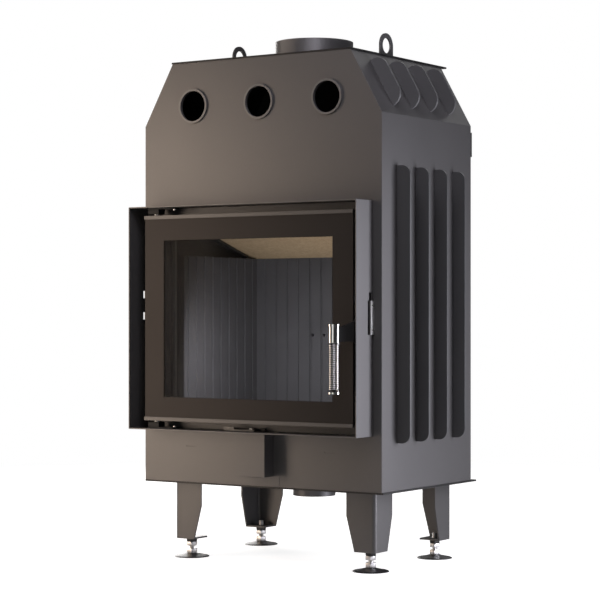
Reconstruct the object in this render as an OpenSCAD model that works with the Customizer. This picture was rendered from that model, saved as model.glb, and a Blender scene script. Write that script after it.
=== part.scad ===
// Fireplace insert: a steel firebox in a finned casing with a sloping hood, a glazed door in a
// deep surround, three hot-air stubs, a flue collar, an air intake below and levelling feet.
// Millimetres, Z up, front towards -Y. The origin is on the floor, under the middle of the box
// that encloses the whole insert.

/* [Body] */
// Width over the side panels
body_w = 650; // [630:5:690]
// Depth from the face of the front panel to the face of the rear panel
body_d = 404; // [396:2:430]
// Height of the upright side panels
side_h = 830; // [810:5:870]
// Height of the sloping hood above the side panels
hood_h = 142; // [125:1:155]
// Width of the hood at its top
hood_top_w = 490; // [470:5:515]
// Thickness of the casing sheet
sheet_t = 4; // [3:0.5:5]
// Reach of the top and base plates behind the rear panel
back_lip = 23; // [16:1:28]
// Reach of the top and base plates past the sides
side_lip = 2; // [1:0.5:3]

/* [Cooling fins] */
// Number of fins on each side
fin_count = 4; // [3:1:4]
// Thickness of a fin
fin_t = 6; // [4:0.5:8]
// Reach of a fin from its panel
fin_reach = 33; // [26:1:38]
// Height of the upright fins
fin_h = 612; // [560:4:640]
// Height of the upright fins' lower ends above the base plate
fin_low = 105; // [90:1:120]
// Distance from the front panel's face to the first fin
fin_first = 65; // [50:1:75]
// Distance from fin to fin
fin_pitch = 83; // [76:1:88]
// Radius of the upright fins' outer corners
fin_r = 21; // [12:1:24]
// Length of the fins on the hood, along the slope
hood_fin_len = 119; // [104:1:126]
// Radius of the hood fins' outer corners
hood_fin_r = 30; // [16:1:32]

/* [Collars and eyes] */
// Inner diameter of the flue collar
flue_bore = 180; // [160:1:182]
// Wall of the flue collar
flue_wall = 2; // [1.5:0.25:3]
// Height of the flue collar above the top plate
flue_rise = 54; // [45:1:70]
// Distance from the front panel's face to the flue axis
collar_y = 230; // [215:1:240]
// Outer diameter of the hot-air stubs
stub_d = 80; // [72:1:84]
// Wall of the hot-air stubs
stub_wall = 5; // [3:0.25:6]
// Reach of the hot-air stubs in front of the panel
stub_reach = 4.5; // [3:0.5:8]
// Distance from stub to stub
stub_pitch = 184; // [170:1:190]
// Height of the stubs above the shoulder of the hood
stub_rise = 41; // [35:1:48]
// Outer diameter of the air-intake collar
intake_d = 100; // [90:1:110]
// Wall of the air-intake collar
intake_wall = 2; // [1.5:0.25:3]
// Drop of the air-intake collar below the base plate
intake_drop = 34; // [25:1:45]
// Width of a lifting eye
eye_w = 57; // [50:1:62]
// Height of a lifting eye
eye_h = 59; // [58:1:68]
// Thickness of a lifting eye
eye_t = 4; // [3:0.5:8]
// Diameter of the hole in a lifting eye
eye_hole = 35; // [30:1:37]
// Distance from the middle of the insert to a lifting eye
eye_x = 206; // [195:1:215]
// Distance from the front panel's face to the middle of a lifting eye
eye_y = 216; // [200:1:230]

/* [Door surround] */
// Distance from the middle of the insert to the surround's left side
surround_left = 320; // [310:1:322]
// Distance from the middle of the insert to the surround's right side
surround_right = 303; // [296:1:306]
// Height of the surround's lower edge above the base plate
surround_low = 122.5; // [112:0.5:130]
// Height of the surround
surround_h = 515; // [505:1:525]
// Depth of the surround
surround_depth = 70; // [66:1:80]
// Thickness of the surround's sheet
surround_t = 2.5; // [2:0.25:3]

/* [Door] */
// Gap between the surround and the glass on the hinge side
swing_gap = 32; // [31:0.5:34]
// Gap between the surround and the glass on the latch side
latch_gap = 16.5; // [16:0.5:19]
// Gap above and below the door
door_gap = 18; // [16:0.5:20]
// Depth of the glass behind the surround's front edge
glass_setback = 18; // [16:0.5:20]
// Thickness of the glass
glass_t = 4; // [4:0.5:5]
// Wall of the door's steel frame
rail_t = 3; // [2.5:0.25:3.5]
// Height of the trims that hold the glass
trim_h = 8.5; // [7:0.5:11]
// Width of the firebox mouth
mouth_w = 472; // [460:2:476]
// Height from each edge of the surround to the firebox mouth
mouth_margin = 50.5; // [48:0.5:56]
// Largest opening of the door in degrees
door_swing = 100; // [80:5:110]

/* [Handle] */
// Height of the latch slot above the surround's lower edge
latch_low = 222; // [200:1:235]
// Diameter of the grip's coil
grip_d = 25; // [22:0.5:26]
// Length of the grip
grip_len = 150; // [130:1:160]
// Distance from the latch pivot to the grip, sideways
grip_side = 29; // [26:0.5:31]
// Distance from the latch pivot to the grip, forwards
grip_out = 55; // [52:0.5:60]
// Diameter of the spring wire
wire_d = 2.2; // [1.8:0.1:2.3]
// Pitch of the spring
wire_pitch = 3; // [2.9:0.05:3.4]
// Length of the plain sleeve above the spring
sleeve_len = 36; // [30:1:42]

/* [Firebox] */
// Width between the side linings
chamber_w = 480; // [478:1:490]
// Distance from the front panel's face to the back lining
chamber_d = 338; // [330:1:346]
// Thickness of the linings
lining_t = 30; // [25:1:32]
// Height of the hearth above the base plate
hearth_z = 170; // [160:1:171]
// Height of the side linings
lining_h = 356; // [340:1:362]
// Distance from groove to groove in the linings
groove_pitch = 33; // [28:0.5:40]
// Width of a groove
groove_w = 5; // [3:0.5:7]
// Depth of a groove
groove_d = 3; // [2:0.5:4]
// Slope of the baffle in degrees
baffle_slope = 17.3; // [14:0.1:19]
// Thickness of the baffle
baffle_t = 30; // [25:1:34]
// Gap in front of the baffle for the smoke
smoke_gap = 72; // [60:1:90]

/* [Air control] */
// Width of the air box under the door
air_box_w = 80; // [76:0.5:90]
// Distance from the middle of the insert to the middle of the air box
air_box_x = 0; // [-5:0.5:5]
// Depth of the air box
air_box_depth = 36; // [34:1:46]
// Height of the air box
air_box_h = 99; // [90:1:105]
// Travel of the air slider
slider_travel = 34; // [20:1:36]

/* [Legs and feet] */
// Distance from the middle of the insert to a leg's outer corner
leg_x = 276; // [265:1:290]
// Distance from the front panel's face to the front legs' corner
leg_front = 52; // [45:1:60]
// Distance from the front panel's face to the rear legs' corner
leg_back = 396; // [385:1:398]
// Width of a leg's sheets at the top
leg_w = 75; // [66:1:80]
// Width of a leg's sheets at the bottom
leg_foot_w = 54; // [48:1:58]
// Height of the legs
leg_h = 136; // [120:1:160]
// Height of the leg's straight part
leg_straight = 56; // [40:1:70]
// Thickness of a leg's sheet
leg_t = 4; // [3:0.5:5]
// Outer radius of a leg's bend
leg_bend = 9; // [6:0.5:12]
// Diameter of the foot discs
disc_d = 82; // [70:1:90]
// Thickness of the foot discs at the hub
disc_h = 8; // [6:0.5:10]
// Diameter of the levelling studs
stud_d = 12; // [10:0.5:13]
// Distance across the flats of the nuts
nut_flats = 19; // [18:0.5:22]
// Distance from a leg's corner to its foot, both ways
foot_in = 28; // [26:0.5:30]

/* [Hidden] */

// Colours as the insert shows them
PAINT_FRONT = [0.42, 0.38, 0.35];
PAINT_SIDE = [0.44, 0.44, 0.46];
PAINT_DARK = [0.16, 0.16, 0.17];
STEEL_BRIGHT = [0.85, 0.85, 0.87];
SHELL_STEEL = [0.2, 0.2, 0.2];
LINING_GREY = [0.3, 0.3, 0.32];
BAFFLE_TAN = [0.62, 0.52, 0.38];
GLASS_DARK = [0.1, 0.1, 0.11, 0.5];
ROPE_GREY = [0.5, 0.5, 0.48];

// Smoothness of round pieces
$fn = 96;
fine_fn = 32;
hex_fn = 6;

// Overrun of cuts, clearance of soft or sliding faces and radial clearance of pivots
over = 1;
seat_gap = 0.3;
pivot_gap = 0.05;
half_share = 0.5;

// Casing
half_w = body_w / 2;
half_top = hood_top_w / 2;
body_top = side_h + hood_h;
hood_angle = atan((half_w - half_top) / hood_h);
hood_wall = sheet_t / cos(hood_angle);
hood_slant = hood_h / cos(hood_angle);
base_front_set = 2;
top_front_lip = 1;
mark_w = 28;
mark_h = 3;
mark_depth = 0.8;
mark_x = 191;
mark_z = 82;
seam_x = 56;
seam_w = 1.2;

// Feet, from the leg's lower end down to the floor
foot_plate_t = 4;
weld_nut_h = 9;
jam_nut_h = 9;
level_gap = 6;
foot_hex_h = 9;
foot_neck_h = 3;
disc_rim = 2.5;
stud_above = 11;
disc_hub_share = 0.32;
disc_slope_share = 0.62;
base_z = sheet_t + leg_h + weld_nut_h + jam_nut_h + level_gap + foot_hex_h
  + foot_neck_h + disc_h;
leg_end = -sheet_t - leg_h;
foot_hex_top = leg_end - weld_nut_h - jam_nut_h - level_gap;
disc_top = foot_hex_top - foot_hex_h - foot_neck_h;

// Surround
surround_high = surround_low + surround_h;
surround_in_left = -surround_left + surround_t;
surround_in_right = surround_right - surround_t;
surround_in_low = surround_low + surround_t;
surround_in_high = surround_high - surround_t;
slot_y = 10;
slot_wide = 7;
slot_tall = 17;
slot_heights_share = [0.51, 0.607];
keeper_low = surround_low + latch_low;
keeper_tall = 74;
keeper_high = keeper_low + keeper_tall;
keeper_back = 13.5;
keeper_wide = 8.5;
notch_tall = 18;
notch_back = 6;
notch_wide = 11.5;

// Door, from the surround inwards
glass_left = surround_in_left + swing_gap;
glass_right = surround_in_right - latch_gap;
door_low = surround_in_low + door_gap;
door_high = surround_in_high - door_gap;
trim_t = 2;
trim_leg = 11;
trim_side = 1;
glass_front = -surround_depth + glass_setback;
glass_back = glass_front + glass_t;
tape_t = 2;
seat_depth = 8;
door_stand = 10;
rail_front = glass_back + tape_t;
rail_back = -seat_depth - door_stand;
rail_low = door_low + trim_t;
rail_high = door_high - trim_t;
rail_left_inset = 3;
rail_right_inset = 8;
rail_left = glass_left + rail_left_inset;
rail_right = glass_right - rail_right_inset;

// Mouth, seat and gasket
mouth_h = surround_h - 2 * mouth_margin;
mouth_mid_z = surround_low + surround_h / 2;
mouth_low = mouth_mid_z - mouth_h / 2;
seat_w = 26;
gasket_w = 12;
gasket_r = 3;
rib_t = 2;
rib_h = 4;
channel_t = 3;
gasket_mid = seat_w / 2;
rail_clear = 1;
rail_open_w = mouth_w + 2 * rail_clear;
rail_open_h = mouth_h - 2 * rail_clear;

// Hinge
hinge_in = 20;
hinge_back = 16;
hinge_x = rail_left + hinge_in;
hinge_y = rail_back - hinge_back;
hinge_pin_d = 10;
hinge_collar_d = 16;
hinge_bush_d = 17;
hinge_bush_h = 16;
hinge_block_w = 30;
hinge_block_d = 24;
hinge_block_front = 16;
hinge_block_h = 14;
hinge_plate_w = 72;
hinge_plate_t = 3;
screw_d = 8;
screw_h = 3;
screw_in = 50;
screw_x = hinge_x + screw_in;
striker_screw_shares = [0.14, 0.86];

// Latch: pivot, hub, tooth and arm
pivot_out = 7;
pivot_back = 8;
pivot_x = glass_right + pivot_out;
pivot_y = glass_back + pivot_back;
pivot_pin_d = 8;
pin_head_h = 3;
hub_d = 14;
hub_h = 98;
ear_r = 7.3;
ear_t = 4;
tooth_h = 50;
tooth_top_gap = 3.5;
tooth_t = 5.5;
tooth_gap = 1.5;
tooth_high = keeper_high - tooth_top_gap;
tooth_low = tooth_high - tooth_h;
tooth_far = -keeper_back - pivot_y;
tooth_near = tooth_far - tooth_t;
tooth_reach = latch_gap - pivot_out - tooth_gap;
hub_over = 12;
hub_high = tooth_high + hub_over;
hub_low = hub_high - hub_h;
arm_t = 5;
arm_elbow = 22;
arm_lift = 1;
arm_h = 57;
arm_low = hub_low + arm_lift;
arm_high_hub = arm_low + arm_h;

// Grip: sleeve, core and caps
sleeve_drop = 2.5;
sleeve_edge = 1.5;
sleeve_flat = 11;
cap_t = 4;
cap_lip = 1;
core_d = 12;
sleeve_low = arm_low - sleeve_drop;
sleeve_high = sleeve_low + sleeve_len;
arm_high_grip = sleeve_high - sleeve_edge;
grip_high = sleeve_high + cap_t;
grip_low = grip_high - grip_len;
grip_x = pivot_x - grip_side;
grip_y = pivot_y - grip_out;
grip_r = grip_d / 2;
cap_r = grip_r + cap_lip;
arm_angle = atan2(grip_side, grip_out - arm_elbow);
arm_run = sqrt(grip_side * grip_side + (grip_out - arm_elbow) * (grip_out - arm_elbow));

// Spring: rings on each curl, sides of the tube and its bend into the straight ends
curl_rings = 8;
tube_sides = 6;
bend_rings = 3;
spring_low = grip_low + cap_t;
spring_high = sleeve_low;
spring_r = grip_r - wire_d / 2;
bend_share = 0.8;
bend_r = wire_d * bend_share;
end_run = bend_r + wire_d;
spring_curls = floor((spring_high - spring_low - 2 * end_run) / wire_pitch);
spring_lead = (spring_high - spring_low - 2 * end_run) / spring_curls;

// Firebox shell behind the front panel
shell_t = 4;
half_chamber = chamber_w / 2;
shell_in = half_chamber + lining_t;
shell_out = shell_in + shell_t;
shell_back = chamber_d + lining_t;
shell_floor = hearth_z - lining_t;
shell_shoulder = 700;
shell_top = 800;
shell_top_w = 240;
groove_margin = 16;
retainer_w = 27;
retainer_t = 3;
lining_front = sheet_t + retainer_t + seat_gap;
slab_count = 3;
slab_gap = 0.5;
nozzle_d = 7;
nozzle_places_share = [-2.27, -1.27, 1.27, 2.27];
nozzle_z = 338;
channel_w = 170;
channel_depth = 8;
channel_rise = 8;
floor_slot = 6;
lining_high = hearth_z + lining_h;
rail_bar_w = 20;
rail_bar_t = 5;
rail_bar_back = 24;

// Air box, slider and damper
box_t = 3;
bolt_side = 3.5;
bolt_x = air_box_x - bolt_side;
half_travel = slider_travel / 2;
bolt_in = 14;
bolt_y = -air_box_depth + bolt_in;
bolt_d = 8;
bolt_head_d = 13;
bolt_head_h = 4.5;
bar_t = 3;
bar_d = 18;
bar_front = bolt_y - bar_d / 2;
bar_back = bolt_y + bar_d / 2;
bar_left_run = 72;
bar_right_run = 12;
bar_left = bolt_x - bar_left_run;
bar_right = bolt_x + bar_right_run;
tab_w = 28;
tab_h = 8;
tab_t = 2;
lip_over = 2;
lip_t = 2;
rail_foot = 5;
damper_w = 26;
damper_t = 2;
damper_drop = 12;
damper_arm_z = surround_low - box_t - damper_drop;
port_edge = 3;
air_box_low = surround_low - air_box_h;
damper_gap = 1;
port_w = 20;
port_x = bolt_x - half_travel;
port_h = 50;
port_low = air_box_low + box_t + damper_gap + port_edge;
damper_arm_w = 16;
slot_air = 0.4;

// Rear brackets
bracket_h = 57;
bracket_w = 18;
bracket_t = 2.5;
bracket_reach = 5.5;
bracket_z = 758;

front_reach = grip_out - pivot_y + cap_r;
front_y = (front_reach - body_d - back_lip) / 2;

// Puts a piece that is described from the foot of the front panel into the insert's own frame
module at_body() {
  translate([0, front_y, base_z]) children();
}

// A box given by its lowest and highest corners
module box(low, high) {
  translate(low) cube(high - low);
}

// A tube along Z
module tube(outer_d, inner_d, low, high) {
  difference() {
    translate([0, 0, low]) cylinder(d = outer_d, h = high - low);
    translate([0, 0, low - over]) cylinder(d = inner_d, h = high - low + 2 * over);
  }
}

// Puts its children at the right-hand side, and mirrored at the left-hand side
module both_sides() {
  children();
  mirror([1, 0, 0]) children();
}

// Outline of the front and rear panels, seen from the front
module panel_outline() {
  polygon([
    [-half_w, 0], [half_w, 0], [half_w, side_h],
    [half_top, body_top], [-half_top, body_top], [-half_w, side_h]
  ]);
}

// Stands a flat outline upright, from y_low to y_high
module upright(y_low, y_high) {
  translate([0, y_high, 0]) rotate([90, 0, 0]) linear_extrude(height = y_high - y_low) children();
}

module base_plate() {
  color(PAINT_DARK) at_body() difference() {
    box([-half_w - side_lip, base_front_set, -sheet_t],
        [half_w + side_lip, body_d + back_lip, 0]);
    translate([0, collar_y, -sheet_t - over])
      cylinder(d = intake_d - 2 * intake_wall, h = sheet_t + 2 * over);
  }
}

module top_plate() {
  color(PAINT_DARK) at_body() difference() {
    box([-half_top - side_lip, -top_front_lip, body_top],
        [half_top + side_lip, body_d + back_lip, body_top + sheet_t]);
    translate([0, collar_y, body_top - over])
      cylinder(d = flue_bore + 2 * flue_wall + 2 * seat_gap, h = sheet_t + 2 * over);
  }
}

module front_panel() {
  color(PAINT_FRONT) at_body() difference() {
    upright(0, sheet_t) panel_outline();
    box([-mouth_w / 2, -over, mouth_low], [mouth_w / 2, sheet_t + over, mouth_low + mouth_h]);
    for (i = [-1 : 1]) translate([i * stub_pitch, sheet_t + over, side_h + stub_rise])
      rotate([90, 0, 0]) cylinder(d = stub_d - 2 * stub_wall, h = sheet_t + 2 * over);
    box([port_x - port_w / 2, -over, port_low],
        [port_x + port_w / 2, sheet_t + over, port_low + port_h]);
    both_sides() box([mark_x - mark_w / 2, -over, mark_z],
                     [mark_x + mark_w / 2, mark_depth, mark_z + mark_h]);
    box([seam_x, -over, -over], [seam_x + seam_w, mark_depth, air_box_low]);
  }
}

module rear_panel() {
  color(PAINT_SIDE) at_body() upright(body_d - sheet_t, body_d) panel_outline();
}

module side_panel() {
  color(PAINT_SIDE) at_body()
    box([half_w - sheet_t, sheet_t, 0], [half_w, body_d - sheet_t, side_h]);
}

module side_panel_right() {
  side_panel();
}

module side_panel_left() {
  mirror([1, 0, 0]) side_panel();
}

module hood_side() {
  color(PAINT_DARK) at_body() upright(sheet_t, body_d - sheet_t) polygon([
    [half_w, side_h], [half_top, body_top],
    [half_top - hood_wall, body_top], [half_w - hood_wall, side_h]
  ]);
}

module hood_side_right() {
  hood_side();
}

module hood_side_left() {
  mirror([1, 0, 0]) hood_side();
}

// One fin, standing out along X from its foot at x = 0, with rounded outer corners
module fin(len, r) {
  translate([0, fin_t, 0]) rotate([90, 0, 0]) linear_extrude(height = fin_t) intersection() {
    square([fin_reach, len]);
    union() {
      square([fin_reach - r, len]);
      translate([0, r]) square([fin_reach, len - 2 * r]);
      for (z = [r, len - r]) translate([fin_reach - r, z]) circle(r = r);
    }
  }
}

// The row of fins from front to back
module fin_row(len, r) {
  for (i = [0 : fin_count - 1]) translate([0, fin_first + i * fin_pitch, 0]) fin(len, r);
}

module side_fins() {
  color(PAINT_DARK) at_body() both_sides()
    translate([half_w, 0, fin_low]) fin_row(fin_h, fin_r);
}

module hood_fins() {
  color(PAINT_DARK) at_body() both_sides()
    translate([half_w, 0, side_h]) rotate([0, -hood_angle, 0])
      translate([0, 0, (hood_slant - hood_fin_len) * half_share])
        fin_row(hood_fin_len, hood_fin_r);
}

module flue_collar() {
  color(PAINT_DARK) at_body() translate([0, collar_y, 0])
    tube(flue_bore + 2 * flue_wall, flue_bore, shell_top, body_top + sheet_t + flue_rise);
}

module air_stubs() {
  color(PAINT_DARK) at_body()
    for (i = [-1 : 1]) translate([i * stub_pitch, 0, side_h + stub_rise])
      rotate([90, 0, 0]) tube(stub_d, stub_d - 2 * stub_wall, 0, stub_reach);
}

module intake_collar() {
  color(PAINT_DARK) at_body() translate([0, collar_y, 0])
    tube(intake_d, intake_d - 2 * intake_wall, -sheet_t - intake_drop, -sheet_t);
}

// One lifting eye: an upright plate with a round head and a hole
module lifting_eye() {
  translate([eye_x - eye_t / 2, eye_y, body_top + sheet_t]) rotate([90, 0, 90])
    linear_extrude(height = eye_t) difference() {
      union() {
        translate([-eye_w / 2, 0]) square([eye_w, eye_h - eye_w / 2]);
        translate([0, eye_h - eye_w / 2]) circle(d = eye_w);
      }
      translate([0, eye_h - eye_w / 2]) circle(d = eye_hole);
    }
}

module lifting_eyes() {
  color(PAINT_DARK) at_body() both_sides() lifting_eye();
}

module rear_brackets() {
  color(PAINT_DARK) at_body() both_sides() {
    box([half_w - bracket_w, body_d, bracket_z],
        [half_w - bracket_t, body_d + bracket_t, bracket_z + bracket_h]);
    box([half_w - bracket_t, body_d, bracket_z],
        [half_w, body_d + bracket_reach, bracket_z + bracket_h]);
  }
}

// Deep sheet frame round the door, with its latch slots and the slot of the air slider
module door_surround() {
  color(PAINT_SIDE) at_body() difference() {
    box([-surround_left, -surround_depth, surround_low], [surround_right, 0, surround_high]);
    box([surround_in_left, -surround_depth - over, surround_in_low],
        [surround_in_right, over, surround_in_high]);
    for (share = slot_heights_share)
      box([-surround_left - over, -slot_y - slot_wide,
           surround_low + share * surround_h - slot_tall / 2],
          [surround_in_left + over, -slot_y,
           surround_low + share * surround_h + slot_tall / 2]);
    box([surround_in_right - over, -keeper_back - keeper_wide, keeper_low],
        [surround_right + over, -keeper_back, keeper_high]);
    box([surround_in_right - over, -notch_back - notch_wide, keeper_high],
        [surround_right + over, -notch_back, keeper_high + notch_tall]);
    bolt_slot(surround_low - over, surround_in_low + over);
  }
}

// Way for the slider's bolt through the sheets that it crosses
module bolt_slot(low, high) {
  slot_r = bolt_d / 2 + slot_air;
  translate([bolt_x, bolt_y, 0]) {
    box([-half_travel, -slot_r, low], [half_travel, slot_r, high]);
    for (x = [-half_travel, half_travel])
      translate([x, 0, low]) cylinder(r = slot_r, h = high - low);
  }
}

module striker_plate() {
  color(STEEL_BRIGHT) at_body()
    box([surround_right, -keeper_back + seat_gap, keeper_low],
        [surround_right + surround_t, 0, keeper_high]);
}

// Round screw head with a hexagon socket, standing on z = 0
module screw_head() {
  difference() {
    cylinder(d = screw_d, h = screw_h, $fn = fine_fn);
    translate([0, 0, screw_h / 2]) cylinder(d = screw_d / 2, h = screw_h, $fn = hex_fn);
  }
}

module fixing_screws() {
  color(STEEL_BRIGHT) at_body() {
    for (share = striker_screw_shares)
      translate([surround_right + surround_t, -keeper_back / 2, keeper_low + share * keeper_tall])
        rotate([0, 90, 0]) screw_head();
    translate([screw_x, hinge_y, surround_in_low + hinge_plate_t]) screw_head();
    translate([screw_x, hinge_y, surround_in_high - hinge_plate_t]) mirror([0, 0, 1]) screw_head();
  }
}

// Hinge block on its fixing plate, standing on z = 0
module hinge_block() {
  left = hinge_x - hinge_block_w / 2;
  front = hinge_y - hinge_block_front;
  box([left, front, 0], [left + hinge_plate_w, front + hinge_block_d, hinge_plate_t]);
  box([left, front, 0], [left + hinge_block_w, front + hinge_block_d, hinge_block_h]);
}

// Puts its child on the surround's lower sheet, and mirrored under the upper sheet
module low_and_high() {
  translate([0, 0, surround_in_low]) children();
  translate([0, 0, surround_in_high]) mirror([0, 0, 1]) children();
}

module hinge_blocks() {
  color(PAINT_SIDE) at_body() low_and_high() hinge_block();
}

// Pin with the collar that carries the door's rail
module hinge_pin() {
  rail_z = door_gap + trim_t;
  translate([hinge_x, hinge_y, hinge_block_h])
    cylinder(d = hinge_collar_d, h = rail_z - seat_gap - hinge_block_h, $fn = fine_fn);
  translate([hinge_x, hinge_y, rail_z - seat_gap])
    cylinder(d = hinge_pin_d, h = rail_t + hinge_bush_h - hinge_plate_t);
}

module hinge_pins() {
  color(STEEL_BRIGHT) at_body() low_and_high() hinge_pin();
}

// Flat ring in the plane of the door, between two rectangles
module door_ring(left, right, low, high, in_w, in_h, y_low, y_high) {
  difference() {
    box([left, y_low, low], [right, y_high, high]);
    box([-in_w / 2, y_low - over, mouth_mid_z - in_h / 2],
        [in_w / 2, y_high + over, mouth_mid_z + in_h / 2]);
  }
}

module door_seat() {
  color(PAINT_DARK) at_body()
    door_ring(-mouth_w / 2 - seat_w, mouth_w / 2 + seat_w, mouth_low - seat_w,
              mouth_low + mouth_h + seat_w, mouth_w, mouth_h, -seat_depth, 0);
}

// Sheet-steel door frame, open at the back, with hinge bushes and latch ears welded on
module door_frame() {
  color(PAINT_DARK) at_body() difference() {
    union() {
      difference() {
        door_ring(rail_left, rail_right, rail_low, rail_high, rail_open_w, rail_open_h,
                  rail_front, rail_back);
        door_ring(rail_left + rail_t, rail_right - rail_t, rail_low + rail_t,
                  rail_high - rail_t, rail_open_w + 2 * rail_t, rail_open_h + 2 * rail_t,
                  rail_front + rail_t, rail_back + over);
      }
      for (z = [rail_low + rail_t, rail_high - rail_t - hinge_bush_h])
        translate([hinge_x, hinge_y, z]) cylinder(d = hinge_bush_d, h = hinge_bush_h);
      for (z = [hub_low - ear_t, hub_high]) latch_ear(z);
    }
    for (z = [rail_low - over, rail_high - rail_t - hinge_bush_h - over])
      translate([hinge_x, hinge_y, z])
        cylinder(r = hinge_pin_d / 2 + pivot_gap, h = rail_t + hinge_bush_h + 2 * over);
    translate([pivot_x, pivot_y, hub_low - ear_t - over])
      cylinder(r = pivot_pin_d / 2 + pivot_gap, h = hub_high - hub_low + 2 * ear_t + 2 * over);
  }
}

// Ear that carries the latch pin beside the door frame
module latch_ear(z) {
  box([rail_right, pivot_y - ear_r, z], [pivot_x, pivot_y + ear_r, z + ear_t]);
  translate([pivot_x, pivot_y, z]) cylinder(r = ear_r, h = ear_t);
}

module latch_pin() {
  color(STEEL_BRIGHT) at_body() translate([pivot_x, pivot_y, 0]) {
    translate([0, 0, hub_low - ear_t]) cylinder(
      d = pivot_pin_d, h = hub_high - hub_low + 2 * ear_t);
    translate([0, 0, hub_high + ear_t]) cylinder(r = ear_r, h = pin_head_h, $fn = fine_fn);
    translate([0, 0, hub_low - ear_t - pin_head_h])
      cylinder(r = ear_r, h = pin_head_h, $fn = fine_fn);
  }
}

// Plate that closes the back of the door frame, with two ribs beside the gasket
module gasket_channel() {
  color(PAINT_DARK) at_body() {
    door_ring(rail_left + rail_t, rail_right - rail_t, rail_low + rail_t, rail_high - rail_t,
              rail_open_w + 2 * rail_t, rail_open_h + 2 * rail_t,
              rail_back - channel_t, rail_back);
    for (edge = [gasket_mid + gasket_w / 2 + rib_t, gasket_mid - gasket_w / 2])
      door_ring(-mouth_w / 2 - edge, mouth_w / 2 + edge, mouth_low - edge,
                mouth_low + mouth_h + edge, mouth_w + 2 * edge - 2 * rib_t,
                mouth_h + 2 * edge - 2 * rib_t, rail_back, rail_back + rib_h);
  }
}

// Cross-section of the rope gasket, its depth along X: flat at the door, rounded at the seat
module gasket_profile(depth) {
  half = gasket_w / 2 - seat_gap;
  translate([0, -half]) square([depth - gasket_r, 2 * half]);
  translate([0, -half + gasket_r]) square([depth, 2 * half - 2 * gasket_r]);
  for (side = [-1, 1]) translate([depth - gasket_r, side * (half - gasket_r)])
    circle(r = gasket_r, $fn = fine_fn);
}

// One run of the gasket along X at height rise, mitred at both ends
module gasket_run(rise, side, depth) {
  intersection() {
    translate([-side - gasket_w, 0, rise]) rotate([90, 0, 90])
      linear_extrude(height = 2 * side + 2 * gasket_w) gasket_profile(depth);
    upright(-over, depth + over) polygon([
      [-side + gasket_w, rise - gasket_w], [side - gasket_w, rise - gasket_w],
      [side + gasket_w, rise + gasket_w], [-side - gasket_w, rise + gasket_w]
    ]);
  }
}

// Rope gasket: four straight runs with mitred corners
module door_gasket() {
  depth = -seat_depth - seat_gap - rail_back;
  side = mouth_w / 2 + gasket_mid;
  rise = mouth_h / 2 + gasket_mid;
  color(ROPE_GREY) at_body() translate([0, rail_back, mouth_mid_z]) {
    for (a = [0, 180]) rotate([0, a, 0]) gasket_run(rise, side, depth);
    for (a = [90, 270]) rotate([0, a, 0]) gasket_run(side, rise, depth);
  }
}

module glass_tape() {
  color(ROPE_GREY) at_body()
    door_ring(rail_left, rail_right, rail_low + seat_gap, rail_high - seat_gap,
              rail_open_w, rail_open_h, glass_back, rail_front);
}

module door_glass() {
  color(GLASS_DARK) at_body()
    box([glass_left, glass_front, rail_low + seat_gap],
        [glass_right, glass_back, rail_high - seat_gap]);
}

// Angle that wraps the edge of the glass, standing on z = 0
module trim() {
  box([glass_left - trim_side, glass_front - trim_t, 0], [glass_right, glass_front, trim_h]);
  box([glass_left - trim_side, glass_front - trim_t, 0],
      [glass_right, glass_front - trim_t + trim_leg, trim_t]);
}

module trim_bottom() {
  color(PAINT_FRONT) at_body() translate([0, 0, door_low]) trim();
}

module trim_top() {
  color(PAINT_FRONT) at_body() translate([0, 0, door_high]) mirror([0, 0, 1]) trim();
}

// Latch hub with the bent arm that carries the grip and the tooth that meets the surround
module handle_arm() {
  color(PAINT_DARK) at_body() translate([pivot_x, pivot_y, 0]) difference() {
    union() {
      translate([0, 0, hub_low + seat_gap])
        cylinder(d = hub_d, h = hub_high - hub_low - 2 * seat_gap);
      arm_plate();
      translate([0, 0, tooth_low]) linear_extrude(height = tooth_high - tooth_low) {
        translate([-arm_t / 2, 0]) square([arm_t, tooth_far]);
        translate([-arm_t / 2, tooth_near])
          square([tooth_reach + arm_t / 2, tooth_far - tooth_near]);
      }
    }
    translate([0, 0, hub_low - over])
      cylinder(r = pivot_pin_d / 2 + pivot_gap, h = hub_high - hub_low + 2 * over);
  }
}

// The bent plate, higher at the hub than at the grip
module arm_plate() {
  intersection() {
    translate([0, 0, arm_low]) linear_extrude(height = arm_high_hub - arm_low) {
      translate([-arm_t / 2, -arm_elbow]) square([arm_t, arm_elbow]);
      translate([0, -arm_elbow]) circle(d = arm_t, $fn = fine_fn);
      translate([0, -arm_elbow]) rotate(-arm_angle)
        translate([-arm_t / 2, -arm_run + sleeve_flat]) square([arm_t, arm_run - sleeve_flat]);
    }
    rotate([90, 0, 90]) translate([0, 0, -grip_side - hub_d])
      linear_extrude(height = grip_side + 2 * hub_d) polygon([
        [-grip_out, arm_low], [hub_d, arm_low], [hub_d, arm_high_hub], [0, arm_high_hub],
        [cap_r + pivot_gap - grip_out, arm_high_grip], [-grip_out, arm_high_grip]
      ]);
  }
}

module at_grip() {
  at_body() translate([grip_x, grip_y, 0]) children();
}

// Plain sleeve above the spring, with the flat that the arm is welded to
module grip_sleeve() {
  color(STEEL_BRIGHT) at_grip() difference() {
    tube(grip_d, core_d + 2 * pivot_gap, sleeve_low, sleeve_high);
    rotate(-arm_angle) box([-grip_r - over, sleeve_flat, sleeve_low - over],
                           [grip_r + over, grip_r + over, sleeve_high + over]);
  }
}

// Rod through the grip, with its two end caps
module grip_core() {
  color(STEEL_BRIGHT) at_grip() {
    translate([0, 0, grip_low + cap_t]) cylinder(d = core_d, h = grip_len - 2 * cap_t);
    for (z = [grip_low, grip_high - cap_t])
      translate([0, 0, z]) cylinder(r = cap_r, h = cap_t);
  }
}

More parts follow.
